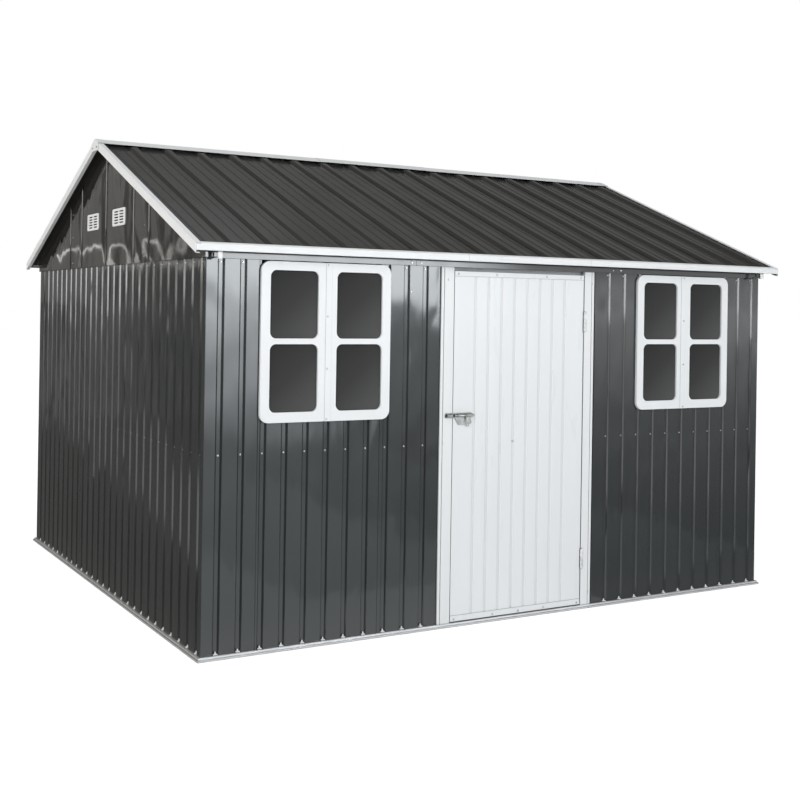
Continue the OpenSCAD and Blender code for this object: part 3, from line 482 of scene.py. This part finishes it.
for side, place_x in (("left", 0.560), ("right", from_right(0.560))):
    screws("window_screws_" + side, [on_front("window_%s_frame_inner" % side, place_x, z)
                                     for z in (0.979, 1.197, 1.423, 1.645)], WINDOW_SCREW_R)
screws("eave_joint_screws", [on_front("eave_rail_front", joint + step, 1.671)
                             for joint in (1.012, from_right(1.012)) for step in (-0.025, 0.025)])
screws("seam_screw", [(along_front(0.990, 1.538), FRONT)])
gable_places = [on_left("gable_left", y, z) for y, z in ((0.757, 1.690), (0.757, 1.835), (1.987, 1.690),
                                                         (1.987, 1.835), (1.987, 1.960))]
screws("gable_screws_left", gable_places)
screws("gable_screws_right", mirrored(gable_places))
plate_places = [on_left("ridge_end_plates", HALF_D + step, 2.262) for step in (-0.035, 0.035)]
screws("end_plate_screws", plate_places + mirrored(plate_places))
screws("jamb_screws", [on_front("door_jamb_left", 1.186, 1.600), on_front("door_jamb_left", 1.166, 0.848),
                       on_front("door_jamb_right", 2.036, 0.080), on_front("door_jamb_right", 2.036, 1.600)])
screws("door_top_screws", [on_front("door_rails", x, 1.628) for x in (1.243, 1.460, 1.755, 1.967)],
       body="door")
screws("door_foot_screws", [on_front("door_rails", x, 0.033) for x in (1.243, 1.462, 1.611, 1.762, 1.967)],
       body="door")
screws("door_brace_screw", [on_front("door_sheet", 1.5663, GIRT_Z)], body="door")


def emptied(owner, output):
    """The shading of a material or of the world with nothing but an output."""
    shading = Shading(owner)
    shading.tree.nodes.clear()
    return shading, shading.node(output).inputs["Surface"]


def studio_floor():
    """Pale paper that takes the shadow and glows a little where it is seen directly."""
    material = bpy.data.materials.new("studio floor")
    s, surface = emptied(material, "ShaderNodeOutputMaterial")
    paper = s.node("ShaderNodeBsdfDiffuse")
    paper.inputs["Color"].default_value = (0.8, 0.8, 0.8, 1)
    glow = s.node("ShaderNodeEmission")
    seen = s.node("ShaderNodeLightPath").outputs["Is Camera Ray"]
    s.join(s.math("MULTIPLY", seen, 0.63), glow.inputs["Strength"])
    both = s.node("ShaderNodeAddShader")
    s.join(paper.outputs["BSDF"], both.inputs[0])
    s.join(glow.outputs["Emission"], both.inputs[1])
    s.join(both.outputs["Shader"], surface)
    bm = bmesh.new()
    bmesh.ops.create_grid(bm, x_segments=1, y_segments=1, size=60)
    meshed("studio_floor", bm, material)


def studio_world():
    """An even soft light, with a white background for what is seen directly, in gloss or through glass."""
    world = bpy.data.worlds.new("studio")
    bpy.context.scene.world = world
    s, surface = emptied(world, "ShaderNodeOutputWorld")
    path = s.node("ShaderNodeLightPath").outputs
    seen = s.math("MAXIMUM", s.math("MAXIMUM", path["Is Camera Ray"], path["Is Glossy Ray"]),
                  path["Is Transmission Ray"])
    mix = s.node("ShaderNodeMixShader")
    s.join(seen, mix.inputs["Fac"])
    for socket, colour, strength in ((mix.inputs[1], (0.985, 0.99, 1.0), 0.52),
                                     (mix.inputs[2], (1.0, 1.0, 1.0), 1.0)):
        light = s.node("ShaderNodeBackground")
        s.feed(light.inputs["Color"], colour)
        s.feed(light.inputs["Strength"], strength)
        s.join(light.outputs["Background"], socket)
    s.join(mix.outputs["Shader"], surface)


def softbox(name, place, target, power, colour):
    """A lamp of 4 m by 3 m that lights surfaces without showing in their gloss."""
    light = bpy.data.lights.new(name, "AREA")
    light.shape = "RECTANGLE"
    light.size = 4.0
    light.size_y = 3.0
    light.energy = power
    light.color = colour
    lamp = bpy.data.objects.new(name, light)
    lamp.location = place
    lamp.rotation_euler = (Vector(target) - Vector(place)).to_track_quat("-Z", "Y").to_euler()
    lamp.visible_glossy = False
    bpy.context.scene.collection.objects.link(lamp)


def lit(name, colour, *stops, low=0.0, high=1.0, folds=0.0):
    """Light of one strength, or by stops of (share, strength) from low to high, with soft folds."""
    material = bpy.data.materials.new(name.replace("_", " "))
    s, surface = emptied(material, "ShaderNodeOutputMaterial")
    glow = s.node("ShaderNodeEmission")
    s.feed(glow.inputs["Color"], colour)
    strength = stops[0][1]
    if len(stops) > 1:
        height = s.axis("Z")
        for (share_a, a), (share_b, b) in zip(stops, stops[1:]):
            step = s.spread(height, low + share_a * (high - low), low + share_b * (high - low), 0.0, b - a)
            strength = s.math("ADD", strength, step)
    if folds:
        hang = s.noise(folds, (1, 1, 0.05))
        strength = s.math("MULTIPLY", strength, s.spread(hang, 0.35, 0.65))
    s.feed(glow.inputs["Strength"], strength)
    s.join(glow.outputs["Emission"], surface)
    return material


def shown_in_gloss(name, bm, material):
    """Drapes and reflectors show in gloss alone, so they neither light the shed nor stand in the picture."""
    thing = meshed(name, bm, material)
    thing.visible_camera = False
    thing.visible_diffuse = False
    thing.visible_transmission = False
    thing.visible_volume_scatter = False
    thing.visible_shadow = False


def studio_drapes():
    """Dark cloth all round and on the floor, as dark glossy sheet is photographed."""
    radius, floor_z = 16, 0.002
    bm = bmesh.new()
    bmesh.ops.create_uvsphere(bm, u_segments=32, v_segments=16, radius=radius)
    bmesh.ops.bisect_plane(bm, geom=bm.verts[:] + bm.edges[:] + bm.faces[:], plane_co=(0, 0, floor_z),
                           plane_no=(0, 0, -1), clear_outer=True)
    bmesh.ops.create_circle(bm, cap_ends=True, segments=32, radius=radius,
                            matrix=Matrix.Translation((0, 0, floor_z)))
    shown_in_gloss("studio_drapes", bm, lit("dark drapes", (1.0, 0.96, 0.90), (0.0, 0.125)))


def reflector(name, ends, low, high, colour, *stops, folds=0.0):
    """An upright lit card over the line between two points on the floor."""
    (x0, y0), (x1, y1) = ends
    bm = bmesh.new()
    bm.faces.new([bm.verts.new(place) for place in ((x0, y0, low), (x1, y1, low),
                                                    (x1, y1, high), (x0, y0, high))])
    shown_in_gloss(name, bm, lit(name, colour, *stops, low=low, high=high, folds=folds))


def floor_cloth(name, corners, z, colour, near, far):
    """A lit cloth on the floor. It rises by a hair, so that its strength can run from near to far."""
    rise = 0.0008
    near_y, far_y = max(y for _, y in corners), min(y for _, y in corners)
    bm = bmesh.new()
    bm.faces.new([bm.verts.new((x, y, z + rise * (near_y - y) / (near_y - far_y))) for x, y in corners])
    shown_in_gloss(name, bm, lit(name, colour, (0.0, near), (1.0, far), low=z, high=z + rise))


def roof_card(name, place, target, width, height, colour, strength):
    """A large dim card that faces the roof."""
    bm = bmesh.new()
    bmesh.ops.create_grid(bm, x_segments=1, y_segments=1, size=0.5)
    bmesh.ops.scale(bm, vec=(width, height, 1), verts=bm.verts)
    turn = (Vector(target) - Vector(place)).to_track_quat("Z", "Y").to_matrix().to_4x4()
    bmesh.ops.transform(bm, matrix=Matrix.Translation(place) @ turn, verts=bm.verts)
    shown_in_gloss(name, bm, lit(name, colour, (0.0, strength)))


def studio_camera():
    """Stands left of the front, a little below the eaves, as a person would hold it."""
    picture_w = 800
    focal_length = 1157.23
    centre_x, centre_y = 352.88, 307.19
    eye = (-3.36857, -5.82112, 1.44930)
    yaw, pitch, roll = 0.50430, 0.00310, 0.01575
    lens = bpy.data.cameras.new("camera")
    lens.sensor_width = 36.0
    lens.lens = 36.0 * focal_length / picture_w
    lens.shift_x = (picture_w / 2 - centre_x) / picture_w
    lens.shift_y = (centre_y - picture_w / 2) / picture_w
    lens.clip_end = 200
    ahead = Vector((math.sin(yaw) * math.cos(pitch), math.cos(yaw) * math.cos(pitch), math.sin(pitch)))
    level = Vector((math.cos(yaw), -math.sin(yaw), 0))
    upright = level.cross(ahead)
    right = math.cos(roll) * level + math.sin(roll) * upright
    up = math.cos(roll) * upright - math.sin(roll) * level
    camera = bpy.data.objects.new("camera", lens)
    camera.matrix_world = Matrix.Translation(eye) @ Matrix((right, up, -ahead)).transposed().to_4x4()
    bpy.context.scene.collection.objects.link(camera)
    bpy.context.scene.camera = camera


COOL, PLAIN, WARM = (0.92, 0.965, 1.0), (0.97, 0.99, 1.0), (1.0, 0.97, 0.93)
studio_floor()
studio_world()
studio_drapes()
softbox("key_softbox", (-7.5, -7.0, 5.5), (0, -0.5, 1.2), 340, (1.0, 0.975, 0.94))
softbox("front_softbox", (3.0, -9.0, 4.5), (0, -1, 1.0), 200, (0.94, 0.975, 1.0))
softbox("side_softbox", (-10.0, 2.0, 4.0), (-1.6, 0, 1.5), 185, (1.0, 0.935, 0.84))

floor_cloth("near_cloth", ((-1.7, -2.1), (0.6, -2.1), (0.5, -1.4), (-1.7, -1.4)),
            0.005, COOL, 1.0, 1.0)
floor_cloth("front_cloth_left", ((-1.6, -9.0), (-1.2, -9.0), (-0.7, -1.4), (-1.6, -1.4)),
            0.004, COOL, 1.0, 1.15)
floor_cloth("front_cloth_middle", ((-1.2, -9.0), (0.9, -9.0), (0.6, -1.4), (-0.7, -1.4)),
            0.004, COOL, 0.7, 1.1)
floor_cloth("front_cloth_right", ((0.9, -9.0), (2.8, -9.0), (2.3, -1.4), (0.6, -1.4)),
            0.004, COOL, 0.3, 0.9)
floor_cloth("far_cloth", ((2.8, -9.0), (12.0, -9.0), (12.0, -1.4), (2.3, -1.4)),
            0.004, PLAIN, 0.2, 0.55)
floor_cloth("left_cloth", ((-9.0, -6.8), (-1.7, -3.1), (-1.7, -2.2), (-9.0, -4.0)),
            0.006, PLAIN, 1.6, 1.6)

reflector("front_left_reflector", ((0.4, -9.0), (3.3, -9.0)), 0.0, 3.6, COOL,
          (0.0, 1.5), (0.12, 2.3), (0.36, 4.8), (0.5, 9.0), (1.0, 10.0))
reflector("front_reflector", ((3.3, -9.0), (5.3, -9.0)), 0.0, 3.6, COOL,
          (0.0, 0.75), (0.41, 1.1), (0.425, 8.5), (1.0, 10.0))
reflector("front_right_reflector", ((5.3, -9.0), (13.0, -9.0)), 0.0, 3.6, PLAIN,
          (0.0, 0.5), (0.3, 1.3), (0.45, 1.85), (0.55, 1.05))
reflector("left_reflector", ((-9.0, -3.9), (-9.0, -6.7)), 0.0, 3.4, PLAIN,
          (0.0, 1.3), (0.40, 1.7), (0.43, 7.0), (1.0, 9.0))
reflector("corner_reflector", ((-9.0, -6.9), (-9.0, -9.0)), 0.0, 3.4, WARM,
          (0.0, 0.3), (0.38, 0.5), (0.5, 8.0), (1.0, 8.0), folds=5.0)
reflector("back_left_drape", ((-2.6, 9.0), (-6.4, 9.0)), 0.0, 1.5, WARM, (0.0, 0.34), folds=3.0)
reflector("back_left_reflector", ((-3.0, 9.0), (-4.5, 9.0)), 1.5, 4.4, WARM, (0.0, 0.26), (1.0, 0.34))
reflector("gable_reflector", ((-4.5, 9.0), (-5.8, 9.0)), 2.1, 4.4, WARM,
          (0.0, 0.35), (0.4, 0.6), (1.0, 0.5), folds=2.0)
reflector("gable_strip", ((-2.8, 8.95), (-6.2, 8.95)), 2.05, 2.08, WARM, (0.0, 3.4))
reflector("rib_reflector", ((-9.0, -1.2), (-9.0, -3.6)), 2.15, 3.8, WARM, (0.0, 4.0))

roof_card("roof_reflector", (5.6, 7.2, 5.9), (0, 0, 2), 9.0, 6.0, (1.0, 0.995, 0.98), 0.21)
roof_card("crest_reflector", (2.1, 5.6, 9.4), (0, -0.7, 2), 2.4, 2.4, PLAIN, 0.6)
studio_camera()
bpy.context.scene.view_settings.view_transform = "Standard"
